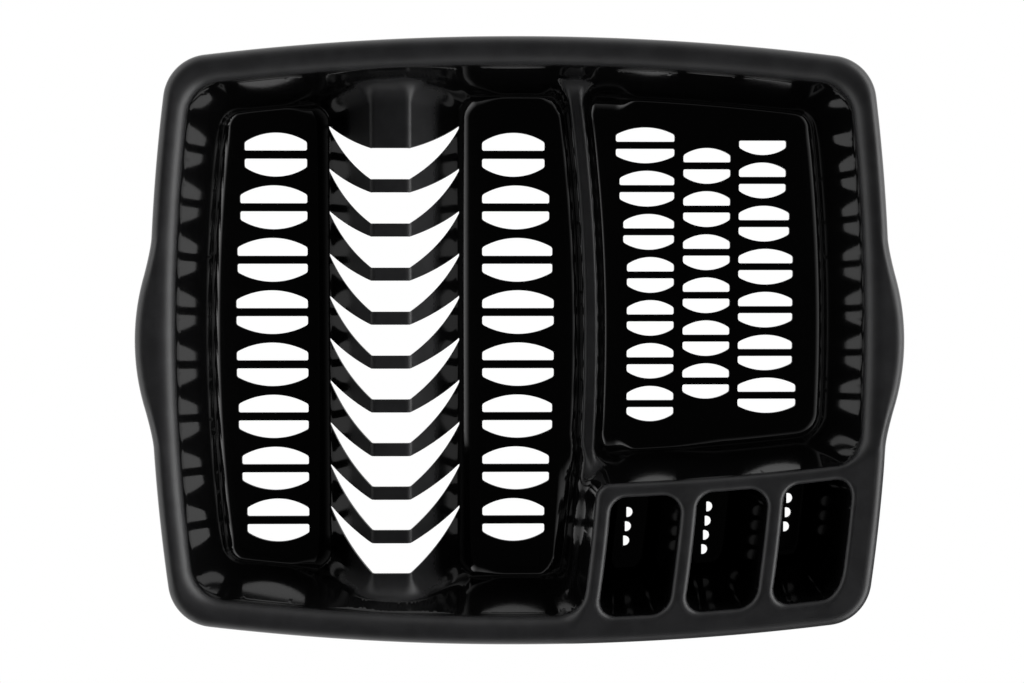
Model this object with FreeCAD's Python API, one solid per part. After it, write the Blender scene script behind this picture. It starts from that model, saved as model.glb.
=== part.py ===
import FreeCAD, Part
import math
import os

# Dish drying rack: one thin black moulding with bowed sides. A raised hump of arched ribs holds
# plates, a low divider walls off a side basin, and three cutlery cups stand in the front right corner.
# Frame: origin on the table under the middle of the rim, +X to the cups' side, +Y to the back, +Z up.
# Units are millimetres.

os.makedirs("parts", exist_ok=True)
Vec = FreeCAD.Vector

# Overall form
HEIGHT = 98.0  # table to the top of the rim
RIM_HALF_X = 232.4  # rim's outer edge on the X axis, grips left out
RIM_HALF_Y = 191.3
RIM_CORNER_R = 30.0
RIM_DEPTH = 12.0  # how far the rim's skirt hangs down
RIM_BEVEL = 4.0
SKIRT_CLEARANCE = 1.0  # around the tub's walls where the space below the rim is cleared
NODE_OVERLAP = 0.5  # how far the nodes of the deck and the block reach past the walls they follow
SIDE_R = 1180.0  # plan radius of every line that runs from back to front
END_R = 1640.0  # plan radius of every line that runs from left to right
WALL = 2.4  # wall thickness of the moulding
REACH = 260.0  # further out than any part of the rack
MARGIN = 5.0  # how far a cutting body runs past what it cuts
TOUCH = 0.05  # points nearer than this count as one

# Tub: its inside at floor level, leaning outward to the rim
FLOOR_TOP = 11.0
FLOOR_HALF_X = 205.6
FLOOR_HALF_Y = 162.5
TUB_CORNER_R = 12.0
TUB_DRAFT = 0.13  # sideways run per millimetre of height

# Grips: a bulge of the rim on each side
GRIP_HALF_LENGTH = 55.0
GRIP_REACH = 241.7
GRIP_END_DROP = 1.4  # how much nearer than RIM_HALF_X the bulge's arc ends
GRIP_ROOT_X = 200.0  # inside the rim, where the bulge's outline closes
GRIP_ZONE_X = 195.0  # inside the tub's wall, where a grip's node ends

# Plate hump and its crescent openings
HUMP_X = -83.6
HUMP_TOP = 61.0
HUMP_TOP_HALF = 12.4
HUMP_BASE_HALF = 47.3
RIB_PITCH = 28.44
OPENING_COUNT = 10
FIRST_TIP_Y = 142.1
TIP_HALF = 43.4
TIP_WIDTH = 1.6
CRESCENT_FLANK = 28.0  # halfway out to the tips, where the two drops below are taken
CRESCENT_BACK_FLANK_DROP = 10.6
CRESCENT_FRONT_FLANK_DROP = 24.2
CRESCENT_BACK_DROP = 18.0  # from the tips to the flat middle of the back edge
CRESCENT_FRONT_DROP = 38.0

# Divider between the plate basin and the side basin, measured on the X axis
DIVIDER_TOP = 52.0
DIVIDER_LEFT_BASE = 41.0
DIVIDER_LEFT_TOP = 42.2
DIVIDER_RIGHT_TOP = 51.2
DIVIDER_RIGHT_BASE = 55.0
DIVIDER_ZONE_LEFT = 34.4  # the divider's node ends here, on the floors beside its foot
DIVIDER_ZONE_RIGHT = 60.7
DIVIDER_FRONT = -92.0  # just inside the cutlery block
DIVIDER_BACK = 200.0  # past the tub's wall
DIVIDER_CORNER_R = 2.0

# Cutlery block: its edges at rim level, where its bowed lines cross the axes
BLOCK_LEFT = 51.3
BLOCK_BACK = -89.5
BLOCK_DRAFT = 0.12
BLOCK_CORNER_R = 10.0
CUP_COUNT = 3
CUP_FIRST_LEFT = 61.2
CUP_WIDTH = 44.2
CUP_PITCH = 54.3
CUP_BACK = -98.4
CUP_DRAFT = 0.08
CUP_CORNER_R = 11.0
CUP_INNER_Y = -135.0  # a level that crosses every cup's floor
CUP_NAMES = ("left", "middle", "right")

# Drain slots: lens shapes, each split in two by a bar
PLATE_SLOT = {"half_height": 12.1, "shoulder": 5.7, "bar": 5.4}
SIDE_SLOT = {"half_height": 9.75, "shoulder": 4.8, "bar": 4.7}
SLOT_FOOT_R = 1.2
SLOT_SHOULDER_R = 2.2
PLATE_SLOT_PITCH = 35.43
PLATE_SLOT_COUNT = 8
PLATE_SLOT_MID_Y = -0.6
PLATE_SLOT_INNER = 59.0  # from the hump's middle to the slots' inner ends
PLATE_SLOT_OUTER = 107.7  # from the hump's middle to the slots' outer ends, on the X axis
SIDE_SLOT_PITCH = 29.2
SIDE_SLOT_WIDTH = 32.0
SIDE_SLOT_STEP = 2.6  # slots beside a slanting wall grow by this much at a time
LEFT_COLUMN_RIGHT = 105.6  # the left column's straight edge, and the other two columns' left edges
MIDDLE_COLUMN_LEFT = 111.6
RIGHT_COLUMN_LEFT = 149.3
LEFT_COLUMN_FIRST_Y = 129.9  # each column's rearmost bar
MIDDLE_COLUMN_FIRST_Y = 116.1
RIGHT_COLUMN_FIRST_Y = 106.3
LEFT_COLUMN_STEPS = (3, 2, 1, 0, 0, 0, 0)
MIDDLE_COLUMN_STEPS = (0, 0, 0, 0, 0, 0)
RIGHT_COLUMN_STEPS = (0, 1, 2, 2, 2, 3)

# Cutlery cup drain holes
CUP_HOLE_LENGTH = 7.0
CUP_HOLE_WIDTH = 4.3
CUP_HOLE_PITCH = 9.8
CUP_HOLE_RIGHT = 0.9  # from a cup's middle line to its holes' round side
CUP_HOLE_COUNTS = (3, 4, 3)
CUP_HOLE_FIRST_Y = (-119.7, -116.0, -110.3)

# Feet under the floor
FOOT_TOP_R = 5.5
FOOT_BOTTOM_R = 4.5
FOOT_PLACES = {
    "foot_back_left": (-179.0, 144.5),
    "foot_back_right": (179.0, 142.5),
    "foot_front_left": (-179.0, -146.0),
    "foot_front_right": (177.0, -138.0),
}


# Bowed lines. Each is a circle in plan: its centre and radius.
def x_line(x, bow):
    """The line through (x, 0) that runs from back to front and bows to +X (bow 1) or -X (bow -1)."""
    return Vec(x - bow * SIDE_R, 0, 0), SIDE_R


def y_line(y, bow):
    """The line through (0, y) that runs from left to right and bows to +Y (bow 1) or -Y (bow -1)."""
    return Vec(0, y - bow * END_R, 0), END_R


def circles_meet(centre_a, radius_a, centre_b, radius_b, near):
    """The crossing of two circles that lies nearer to the point near."""
    gap = centre_b - centre_a
    along = (gap.Length**2 + radius_a**2 - radius_b**2) / (2 * gap.Length)
    across = math.sqrt(radius_a**2 - along**2)
    unit = Vec(gap).normalize()
    side = Vec(-unit.y, unit.x, 0) * across
    foot = centre_a + unit * along
    return min((foot + side, foot - side), key=lambda p: (p - near).Length)


def toward(centre, point, distance):
    return centre + (point - centre).normalize() * distance


def region(left, right, front, back, bows, corner_r, z):
    """A closed plan outline of four bowed lines and four tangent corner arcs, at height z.

    bows holds the bow of the left, right, front and back line: 1 toward +X or +Y, -1 the other way.
    """
    sides = [
        (x_line(right, bows[1]), -bows[1]),
        (y_line(back, bows[3]), -bows[3]),
        (x_line(left, bows[0]), bows[0]),
        (y_line(front, bows[2]), bows[2]),
    ]
    rough = [(right, back), (left, back), (left, front), (right, front)]
    corners = []
    for i in range(4):
        (centre_a, radius_a), grow_a = sides[i]
        (centre_b, radius_b), grow_b = sides[(i + 1) % 4]
        reach_a = radius_a + grow_a * corner_r
        reach_b = radius_b + grow_b * corner_r
        middle = circles_meet(centre_a, reach_a, centre_b, reach_b, Vec(*rough[i], 0))
        start = toward(centre_a, middle, radius_a)
        end = toward(centre_b, middle, radius_b)
        peak = toward(middle, (start + end) * 0.5, corner_r)
        corners.append((start, peak, end))
    edges = []
    for i in range(4):
        start, peak, end = corners[i]
        edges.append(Part.Arc(start, peak, end).toShape())
        (centre, radius), _ = sides[(i + 1) % 4]
        following = corners[(i + 1) % 4][0]
        middle = toward(centre, (end + following) * 0.5, radius)
        edges.append(Part.Arc(end, middle, following).toShape())
    wire = Part.Wire(edges)
    wire.translate(Vec(0, 0, z))
    return wire


def loft(lower, upper):
    return Part.makeLoft([lower, upper], True, True)


def barrel(half_x, half_y, corner_r, z):
    """The tub's own kind of outline, with all four sides bowed outward."""
    return region(-half_x, half_x, -half_y, half_y, (-1, 1, -1, 1), corner_r, z)


def upright(wire, z_low, z_high):
    """A prism with vertical sides on a plan outline."""
    base = wire.copy()
    base.translate(Vec(0, 0, z_low - wire.BoundBox.ZMin))
    return Part.Face(base).extrude(Vec(0, 0, z_high - z_low))


def box(x_low, x_high, y_low, y_high, z_low, z_high):
    corner = Vec(x_low, y_low, z_low)
    return Part.makeBox(x_high - x_low, y_high - y_low, z_high - z_low, corner)


# The moulding is the space between two copies of one form: its top side (grow 0), and the same
# form with every surface moved inward by the wall thickness (grow WALL).
def tub(grow):
    """The tub's hollow."""

    def outline(z):
        spread = (z - FLOOR_TOP) * TUB_DRAFT + grow
        return barrel(FLOOR_HALF_X + spread, FLOOR_HALF_Y + spread, TUB_CORNER_R + spread, z)

    return loft(outline(FLOOR_TOP - grow), outline(HEIGHT + MARGIN))


def rim_block(grow):
    """The outer form that the tub is sunk into, with the grips' bulges and a bevelled top edge."""
    shoulder = HEIGHT - RIM_BEVEL - grow / 2
    top = HEIGHT - grow
    inset = RIM_BEVEL - grow / 2

    def rim_outline(z, shrink):
        half_x = RIM_HALF_X - grow - shrink
        half_y = RIM_HALF_Y - grow - shrink
        return barrel(half_x, half_y, RIM_CORNER_R - grow - shrink, z)

    def grip_outline(side, z, shrink):
        reach = GRIP_REACH - grow - shrink
        flank = RIM_HALF_X - GRIP_END_DROP - grow - shrink
        end = GRIP_HALF_LENGTH
        arc = Part.Arc(Vec(side * flank, -end, z), Vec(side * reach, 0, z), Vec(side * flank, end, z))
        root = side * GRIP_ROOT_X
        points = [Vec(side * flank, end, z), Vec(root, end, z)]
        points += [Vec(root, -end, z), Vec(side * flank, -end, z)]
        return Part.Wire([arc.toShape()] + Part.makePolygon(points).Edges)

    form = upright(rim_outline(0, 0), -grow, shoulder)
    form = form.fuse(loft(rim_outline(shoulder, 0), rim_outline(top, inset)))
    for side in (-1, 1):
        form = form.fuse(upright(grip_outline(side, 0, 0), -grow, shoulder))
        form = form.fuse(loft(grip_outline(side, shoulder, 0), grip_outline(side, top, inset)))
    return form


def hump(grow):
    """The raised trapezoid ridge under the plates."""
    slope = (HUMP_BASE_HALF - HUMP_TOP_HALF) / (HUMP_TOP - FLOOR_TOP)
    top = HUMP_TOP - grow
    inset = grow * math.sqrt(1 + slope**2)
    points = []
    for z, sign in ((0, -1), (top, -1), (top, 1), (0, 1)):
        half = HUMP_TOP_HALF + (HUMP_TOP - z) * slope - inset
        points.append(Vec(HUMP_X + sign * half, -REACH, z))
    face = Part.Face(Part.makePolygon(points + points[:1]))
    return face.extrude(Vec(0, 2 * REACH, 0))


def divider_outline(left, right, z):
    return region(left, right, DIVIDER_FRONT, DIVIDER_BACK, (1, 1, -1, 1), DIVIDER_CORNER_R, z)


def divider(grow):
    """The low ridge between the two basins, bowed like the sides."""
    rise = DIVIDER_TOP - FLOOR_TOP
    left_slope = (DIVIDER_LEFT_TOP - DIVIDER_LEFT_BASE) / rise
    right_slope = (DIVIDER_RIGHT_BASE - DIVIDER_RIGHT_TOP) / rise

    def outline(z):
        left = DIVIDER_LEFT_TOP - (DIVIDER_TOP - z) * left_slope + grow
        right = DIVIDER_RIGHT_TOP + (DIVIDER_TOP - z) * right_slope - grow
        return divider_outline(left, right, z)

    return loft(outline(0), outline(DIVIDER_TOP - grow))


def cutlery_block(grow):
    """The raised corner that the cups are sunk into."""

    def outline(z):
        spread = (HEIGHT - z) * BLOCK_DRAFT - grow
        left = BLOCK_LEFT - spread
        back = BLOCK_BACK + spread
        return region(left, REACH, -REACH, back, (1, 1, -1, -1), BLOCK_CORNER_R, z)

    return loft(outline(0), outline(HEIGHT + MARGIN))


def cup_lines(index, spread):
    left = CUP_FIRST_LEFT + index * CUP_PITCH - spread
    right = CUP_FIRST_LEFT + index * CUP_PITCH + CUP_WIDTH + spread
    return left, right


def cup_middle(index, y):
    """The x of a cup's bowed middle line at this y."""
    left, right = cup_lines(index, 0)
    return (left + right) / 2 - y**2 / (2 * SIDE_R)


def cup(index, grow):
    """A cutlery cup's hollow. Its front, and the last cup's right side, is the tub's own wall."""

    def outline(z):
        spread = (z - HEIGHT) * CUP_DRAFT + grow
        left, right = cup_lines(index, spread)
        if index == CUP_COUNT - 1:
            right = REACH
        return region(left, right, -REACH, CUP_BACK + spread, (1, 1, -1, -1), CUP_CORNER_R, z)

    return loft(outline(FLOOR_TOP - grow), outline(HEIGHT + MARGIN)).common(tub(grow))


def form_under(grow):
    """Everything below the moulding's top side (grow 0) or below its underside (grow WALL)."""
    raised = hump(grow).fuse([divider(grow), cutlery_block(grow)])
    hollow = tub(grow).cut(raised)
    return rim_block(grow).cut([hollow] + [cup(i, grow) for i in range(CUP_COUNT)])


def moulding():
    """The whole skin before its drain openings are cut."""
    skin = form_under(0).cut(form_under(WALL))
    rim_bottom = HEIGHT - RIM_DEPTH
    spread = (rim_bottom - FLOOR_TOP) * TUB_DRAFT + WALL + SKIRT_CLEARANCE
    keep = barrel(FLOOR_HALF_X + spread, FLOOR_HALF_Y + spread, TUB_CORNER_R + spread, 0)
    outside = box(-REACH, REACH, -REACH, REACH, -MARGIN, rim_bottom)
    outside = outside.cut(upright(keep, -MARGIN, rim_bottom))
    skin = skin.cut(outside)
    outer_wall = tub(WALL).cut([tub(0), floor_plan()])
    outer_wall = outer_wall.common(box(-REACH, REACH, -REACH, REACH, 0, rim_bottom))
    return skin.fuse(outer_wall)


# Plan zones that the moulding is divided into, as prisms
def floor_plan():
    return upright(barrel(FLOOR_HALF_X, FLOOR_HALF_Y, TUB_CORNER_R, 0), -MARGIN, HEIGHT + MARGIN)


def block_plan():
    spread = (HEIGHT - FLOOR_TOP) * BLOCK_DRAFT + NODE_OVERLAP
    left = BLOCK_LEFT - spread
    back = BLOCK_BACK + spread
    outline = region(left, REACH, -REACH, back, (1, 1, -1, -1), BLOCK_CORNER_R, 0)
    return upright(outline, -MARGIN, HEIGHT + MARGIN)


def divider_plan():
    return upright(divider_outline(DIVIDER_ZONE_LEFT, DIVIDER_ZONE_RIGHT, 0), -MARGIN, HEIGHT + MARGIN)


def wedge(direction):
    """The quarter of the plan that faces back, front, left or right, split at the tub's corners."""
    x = 2 * REACH
    y = x * FLOOR_HALF_Y / FLOOR_HALF_X
    corners = {"back": ((x, y), (-x, y)), "front": ((-x, -y), (x, -y))}
    corners.update({"left": ((-x, y), (-x, -y)), "right": ((x, -y), (x, y))})
    points = [Vec(0, 0, 0)] + [Vec(px, py, 0) for px, py in corners[direction]]
    return upright(Part.makePolygon(points + points[:1]), -MARGIN, HEIGHT + MARGIN)


# Openings
def crescent(index):
    """One plate opening: a crescent with a flat middle, cut straight down through the hump."""
    tip = FIRST_TIP_Y - index * RIB_PITCH
    outer, flank, inner = TIP_HALF, CRESCENT_FLANK, HUMP_TOP_HALF
    back, back_flank = -CRESCENT_BACK_DROP, -CRESCENT_BACK_FLANK_DROP
    front, front_flank = -CRESCENT_FRONT_DROP, -CRESCENT_FRONT_FLANK_DROP

    def at(x, y):
        return Vec(HUMP_X + x, tip + y, 0)

    edges = [
        Part.Arc(at(outer, 0), at(flank, back_flank), at(inner, back)).toShape(),
        Part.makeLine(at(inner, back), at(-inner, back)),
        Part.Arc(at(-inner, back), at(-flank, back_flank), at(-outer, 0)).toShape(),
        Part.makeLine(at(-outer, 0), at(-outer, -TIP_WIDTH)),
        Part.Arc(at(-outer, -TIP_WIDTH), at(-flank, front_flank), at(-inner, front)).toShape(),
        Part.makeLine(at(-inner, front), at(inner, front)),
        Part.Arc(at(inner, front), at(flank, front_flank), at(outer, -TIP_WIDTH)).toShape(),
        Part.makeLine(at(outer, -TIP_WIDTH), at(outer, 0)),
    ]
    return upright(Part.Wire(edges), -MARGIN, HEIGHT)


def posts_at(solid, y):
    """The upright edges of a prism that stand at this y."""
    return [e for e in solid.Edges if e.BoundBox.ZLength > WALL and abs(e.CenterOfMass.y - y) < TOUCH]


def half_slot(x_low, x_high, y_flat, direction, sizes):
    """Half of a lens slot: a straight side on the bar, short ends and a shallow arc."""
    shoulder = y_flat + direction * sizes["shoulder"]
    top = y_flat + direction * sizes["half_height"]
    points = [Vec(x_high, shoulder, 0), Vec(x_high, y_flat, 0)]
    points += [Vec(x_low, y_flat, 0), Vec(x_low, shoulder, 0)]
    peak = Vec((x_low + x_high) / 2, top, 0)
    arc = Part.Arc(points[-1], peak, points[0]).toShape()
    outline = Part.Wire(Part.makePolygon(points).Edges + [arc])
    prism = upright(outline, FLOOR_TOP - WALL - MARGIN, FLOOR_TOP + MARGIN)
    prism = prism.makeFillet(SLOT_FOOT_R, posts_at(prism, y_flat))
    return prism.makeFillet(SLOT_SHOULDER_R, posts_at(prism, shoulder))


def slot_pair(x_low, x_high, y_bar, sizes, halves=(1, -1)):
    gap = sizes["bar"] / 2
    return [half_slot(x_low, x_high, y_bar + side * gap, side, sizes) for side in halves]


def plate_slots(side):
    """The slot column to the left (-1) or right (1) of the hump. Outer ends follow the bowed wall."""
    slots = []
    for i in range(PLATE_SLOT_COUNT):
        offset = (i - (PLATE_SLOT_COUNT - 1) / 2) * PLATE_SLOT_PITCH
        outer = HUMP_X + side * (PLATE_SLOT_OUTER - offset**2 / (2 * SIDE_R))
        inner = HUMP_X + side * PLATE_SLOT_INNER
        y_bar = PLATE_SLOT_MID_Y + offset
        slots += slot_pair(min(inner, outer), max(inner, outer), y_bar, PLATE_SLOT)
    return slots


def side_slots():
    """Three columns; the outer two widen in steps where the basin's slanting sides make room."""
    left, middle, right = LEFT_COLUMN_RIGHT, MIDDLE_COLUMN_LEFT, RIGHT_COLUMN_LEFT
    slots = []
    for i, steps in enumerate(LEFT_COLUMN_STEPS):
        width = SIDE_SLOT_WIDTH + steps * SIDE_SLOT_STEP
        slots += slot_pair(left - width, left, LEFT_COLUMN_FIRST_Y - i * SIDE_SLOT_PITCH, SIDE_SLOT)
    for i, steps in enumerate(MIDDLE_COLUMN_STEPS):
        width = SIDE_SLOT_WIDTH + steps * SIDE_SLOT_STEP
        slots += slot_pair(middle, middle + width, MIDDLE_COLUMN_FIRST_Y - i * SIDE_SLOT_PITCH, SIDE_SLOT)
    for i, steps in enumerate(RIGHT_COLUMN_STEPS):
        width = SIDE_SLOT_WIDTH + steps * SIDE_SLOT_STEP
        slots += slot_pair(right, right + width, RIGHT_COLUMN_FIRST_Y - i * SIDE_SLOT_PITCH, SIDE_SLOT)
    last_y = RIGHT_COLUMN_FIRST_Y + SIDE_SLOT_PITCH
    return slots + slot_pair(right, right + SIDE_SLOT_WIDTH, last_y, SIDE_SLOT, halves=(-1,))


def cup_holes(index):
    """A slanting row of small D-shaped holes along the middle of a cup's floor."""
    half = CUP_HOLE_LENGTH / 2
    holes = []
    for i in range(CUP_HOLE_COUNTS[index]):
        y = CUP_HOLE_FIRST_Y[index] - i * CUP_HOLE_PITCH
        x = cup_middle(index, y) + CUP_HOLE_RIGHT - CUP_HOLE_WIDTH
        arc = Part.Arc(Vec(x, -half + y, 0), Vec(x + CUP_HOLE_WIDTH, y, 0), Vec(x, half + y, 0))
        line = Part.makeLine(Vec(x, half + y, 0), Vec(x, -half + y, 0))
        holes.append(upright(Part.Wire([arc.toShape(), line]), 0, FLOOR_TOP + MARGIN))
    return holes


def foot(x, y):
    height = FLOOR_TOP - WALL
    return Part.makeCone(FOOT_BOTTOM_R, FOOT_TOP_R, height, Vec(x, y, 0))


# Nodes
def rim_nodes(upper):
    """The rim, its two grips and the deck around the cups, from everything above the skirt's edge."""
    spread = (HEIGHT - FLOOR_TOP) * TUB_DRAFT + WALL + NODE_OVERLAP
    inside = barrel(FLOOR_HALF_X + spread, FLOOR_HALF_Y + spread, TUB_CORNER_R + spread, 0)
    deck_zone = block_plan().common(upright(inside, -MARGIN, HEIGHT + MARGIN))
    nodes = {"cutlery_deck": upper.common(deck_zone)}
    ring = upper.cut(deck_zone)
    grip_zones = {}
    for name, side in (("left", -1), ("right", 1)):
        x_low, x_high = sorted((side * GRIP_ZONE_X, side * REACH))
        zone = box(x_low, x_high, -GRIP_HALF_LENGTH, GRIP_HALF_LENGTH, 0, REACH)
        grip_zones[name] = zone
        nodes["grip_" + name] = ring.common(zone)
    ring = ring.cut(list(grip_zones.values()))
    nodes["rim_back"] = ring.common(wedge("back"))
    nodes["rim_front"] = ring.common(wedge("front"))
    for name in ("left", "right"):
        stubs = ring.common(wedge(name))
        nodes["rim_" + name + "_back"] = stubs.common(box(-REACH, REACH, 0, REACH, 0, REACH))
        nodes["rim_" + name + "_front"] = stubs.common(box(-REACH, REACH, -REACH, 0, 0, REACH))
    return nodes


def block_nodes(inside):
    """The three cups and the wall between them and the basins."""
    solids = inside.common(block_plan()).Solids
    nodes = {}
    for index, name in enumerate(CUP_NAMES):
        on_floor = Vec(cup_middle(index, CUP_INNER_Y), CUP_INNER_Y, FLOOR_TOP - WALL / 2)
        pocket = next(solid for solid in solids if solid.isInside(on_floor, TOUCH, True))
        solids.remove(pocket)
        nodes["cup_" + name] = pocket.cut(cup_holes(index))
    nodes["cutlery_surround"] = Part.makeCompound(solids)
    return nodes


def hump_nodes(strip):
    """The ribs and the hump's two solid ends, from the strip that the crescents cut right through."""
    pieces = strip.cut([crescent(i) for i in range(OPENING_COUNT)]).Solids
    pieces.sort(key=lambda solid: -solid.CenterOfMass.y)
    names = ["hump_back_end"] + [f"plate_rib_{i}" for i in range(1, OPENING_COUNT)]
    return dict(zip(names + ["hump_front_end"], pieces))


def floor_nodes(floor):
    """The hump, the divider and the drain floors: thirds under the plates, slot columns at the side."""
    nodes = {"divider": floor.common(divider_plan())}
    rest = floor.cut(divider_plan())
    strip = box(HUMP_X - TIP_HALF, HUMP_X + TIP_HALF, -REACH, REACH, 0, HEIGHT)
    nodes.update(hump_nodes(rest.common(strip)))
    flat = rest.cut(strip)

    def between(name, low, high, slots):
        inside = [s for s in flat.Solids if low < s.CenterOfMass.x < high]
        nodes[name] = Part.makeCompound(inside).cut(slots)

    between("left", -REACH, HUMP_X, plate_slots(-1))
    between("right", HUMP_X, DIVIDER_ZONE_LEFT, plate_slots(1))
    between("side", DIVIDER_ZONE_RIGHT, REACH, side_slots())
    back_line = PLATE_SLOT_MID_Y + PLATE_SLOT_PITCH
    front_line = PLATE_SLOT_MID_Y - PLATE_SLOT_PITCH
    thirds = {"back": (back_line, REACH), "middle": (front_line, back_line), "front": (-REACH, front_line)}
    for side in ("left", "right"):
        whole = nodes.pop(side)
        for name, (low, high) in thirds.items():
            nodes[f"plate_floor_{side}_{name}"] = whole.common(box(-REACH, REACH, low, high, 0, HEIGHT))
    whole = nodes.pop("side")
    first_gap = (LEFT_COLUMN_RIGHT + MIDDLE_COLUMN_LEFT) / 2
    second_gap = (MIDDLE_COLUMN_LEFT + SIDE_SLOT_WIDTH + RIGHT_COLUMN_LEFT) / 2
    columns = {"left": (0, first_gap), "middle": (first_gap, second_gap), "right": (second_gap, REACH)}
    for name, (low, high) in columns.items():
        nodes["side_floor_" + name] = whole.common(box(low, high, -REACH, REACH, 0, HEIGHT))
    return nodes


def build():
    skin = moulding()
    rim_bottom = HEIGHT - RIM_DEPTH
    nodes = rim_nodes(skin.common(box(-REACH, REACH, -REACH, REACH, rim_bottom, REACH)))
    lower = skin.common(box(-REACH, REACH, -REACH, REACH, -MARGIN, rim_bottom))
    inside = lower.common(floor_plan())
    nodes.update(block_nodes(inside))
    nodes.update(floor_nodes(inside.cut(block_plan())))
    walls = lower.cut(floor_plan())
    for name in ("back", "front", "left", "right"):
        nodes["wall_" + name] = walls.common(wedge(name))
    for name, place in FOOT_PLACES.items():
        nodes[name] = foot(*place)
    return nodes


for node_name, shape in build().items():
    shape = shape.removeSplitter()
    print(node_name, "solids", len(shape.Solids), "valid", shape.isValid(), "volume", round(shape.Volume))
    shape.exportStep(f"parts/{node_name}.step")
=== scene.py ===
import math
import bpy
import numpy as np
from mathutils import Matrix, Vector
from mathutils.geometry import delaunay_2d_cdt


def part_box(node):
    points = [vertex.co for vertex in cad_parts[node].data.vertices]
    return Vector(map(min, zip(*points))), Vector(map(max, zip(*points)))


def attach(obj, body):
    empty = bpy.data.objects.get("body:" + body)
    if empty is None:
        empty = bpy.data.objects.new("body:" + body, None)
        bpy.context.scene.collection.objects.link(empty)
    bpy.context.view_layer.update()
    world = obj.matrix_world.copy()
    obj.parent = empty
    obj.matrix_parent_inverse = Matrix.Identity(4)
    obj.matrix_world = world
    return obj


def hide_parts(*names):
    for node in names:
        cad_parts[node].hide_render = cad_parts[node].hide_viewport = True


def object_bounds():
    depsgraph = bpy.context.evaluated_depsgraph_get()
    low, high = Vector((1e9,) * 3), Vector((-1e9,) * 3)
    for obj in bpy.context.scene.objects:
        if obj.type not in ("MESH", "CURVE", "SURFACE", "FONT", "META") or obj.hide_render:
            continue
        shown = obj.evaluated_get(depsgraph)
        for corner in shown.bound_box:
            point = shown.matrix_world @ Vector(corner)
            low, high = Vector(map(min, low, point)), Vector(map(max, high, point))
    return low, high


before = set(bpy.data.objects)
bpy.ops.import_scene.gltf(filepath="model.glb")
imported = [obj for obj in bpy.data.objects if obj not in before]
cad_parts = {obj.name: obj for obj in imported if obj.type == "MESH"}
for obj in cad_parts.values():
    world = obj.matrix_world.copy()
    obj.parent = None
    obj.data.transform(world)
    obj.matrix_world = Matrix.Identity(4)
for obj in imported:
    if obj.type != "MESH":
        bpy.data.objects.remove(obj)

# Dish drying rack: the looks of its one black moulding.
# The moulding's top side is the zero level of one smooth form, form_at(plan, z), whose union and
# intersection rounds are the real fillets. A plan triangulation that follows every edge and
# opening is lifted to that level, and its underside to the level one wall thickness inside.
# The result is then divided into closed pieces that stand for the CAD nodes.
# Lengths are in millimetres until a mesh is made.

CAD_LOW, CAD_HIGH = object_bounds()
MM = 0.001

# Sizes from the frame
HEIGHT = CAD_HIGH[2] / MM
GRIP_REACH = CAD_HIGH[0] / MM
RIM_HALF_Y = CAD_HIGH[1] / MM
RIM_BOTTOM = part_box("rim_back")[0].z / MM
FLOOR_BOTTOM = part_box("plate_floor_left_back")[0].z / MM
HUMP_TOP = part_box("plate_rib_1")[1].z / MM
DIVIDER_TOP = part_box("divider")[1].z / MM

# Sizes shared with the CAD
RIM_HALF_X = 232.4
RIM_CORNER_R = 30.0
SIDE_R = 1180.0
END_R = 1640.0
WALL = 2.4
FLOOR_TOP = FLOOR_BOTTOM + WALL
FLOOR_HALF_X = 205.6
FLOOR_HALF_Y = 162.5
TUB_CORNER_R = 12.0
TUB_DRAFT = 0.13
GRIP_HALF_LENGTH = 55.0
HUMP_X = -83.6
HUMP_TOP_HALF = 12.4
HUMP_BASE_HALF = 47.3
DIVIDER_LEFT_BASE = 41.0
DIVIDER_LEFT_TOP = 42.2
DIVIDER_RIGHT_TOP = 51.2
DIVIDER_RIGHT_BASE = 55.0
DIVIDER_TUCK = 6.0  # how far the divider turns aside to run into the block
DIVIDER_TUCK_RUN = 26.0
DIVIDER_ZONE_LEFT = 34.4
DIVIDER_ZONE_RIGHT = 60.7
BLOCK_LEFT = 51.3
BLOCK_BACK = -89.5
BLOCK_DRAFT = 0.12
BLOCK_CORNER_R = 10.0
CUP_COUNT = 3
CUP_FIRST_LEFT = 61.2
CUP_WIDTH = 44.2
CUP_PITCH = 54.3
CUP_BACK = -98.4
CUP_DRAFT = 0.08
CUP_CORNER_R = 11.0
CUP_INNER_Y = -135.0  # inside the left cup
CUP_INNER_STEP = 2.0
GRIP_ZONE_X = 195.0
CUP_NAMES = ("left", "middle", "right")

# Openings
RIB_PITCH = 28.44
OPENING_COUNT = 10
FIRST_TIP_Y = 142.1
TIP_HALF = 43.4
TIP_WIDTH = 1.6
CRESCENT_FLANK = 28.0
CRESCENT_BACK_FLANK_DROP = 10.6
CRESCENT_FRONT_FLANK_DROP = 24.2
CRESCENT_BACK_DROP = 18.0
CRESCENT_FRONT_DROP = 38.0
PLATE_SLOT = {"half_height": 12.1, "shoulder": 5.7, "bar": 5.4}
SIDE_SLOT = {"half_height": 9.75, "shoulder": 4.8, "bar": 4.7}
SLOT_FOOT_R = 1.2
SLOT_SHOULDER_R = 2.2
PLATE_SLOT_PITCH = 35.43
PLATE_SLOT_COUNT = 8
PLATE_SLOT_MID_Y = -0.6
PLATE_SLOT_INNER = 59.0
PLATE_SLOT_OUTER = 107.7
SIDE_SLOT_PITCH = 29.2
SIDE_SLOT_WIDTH = 32.0
SIDE_SLOT_STEP = 2.6
LEFT_COLUMN_RIGHT = 105.6
MIDDLE_COLUMN_LEFT = 111.6
RIGHT_COLUMN_LEFT = 149.3
LEFT_COLUMN_FIRST_Y = 129.9
MIDDLE_COLUMN_FIRST_Y = 116.1
RIGHT_COLUMN_FIRST_Y = 106.3
LEFT_COLUMN_STEPS = (3, 2, 1, 0, 0, 0, 0)
MIDDLE_COLUMN_STEPS = (0, 0, 0, 0, 0, 0)
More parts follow.
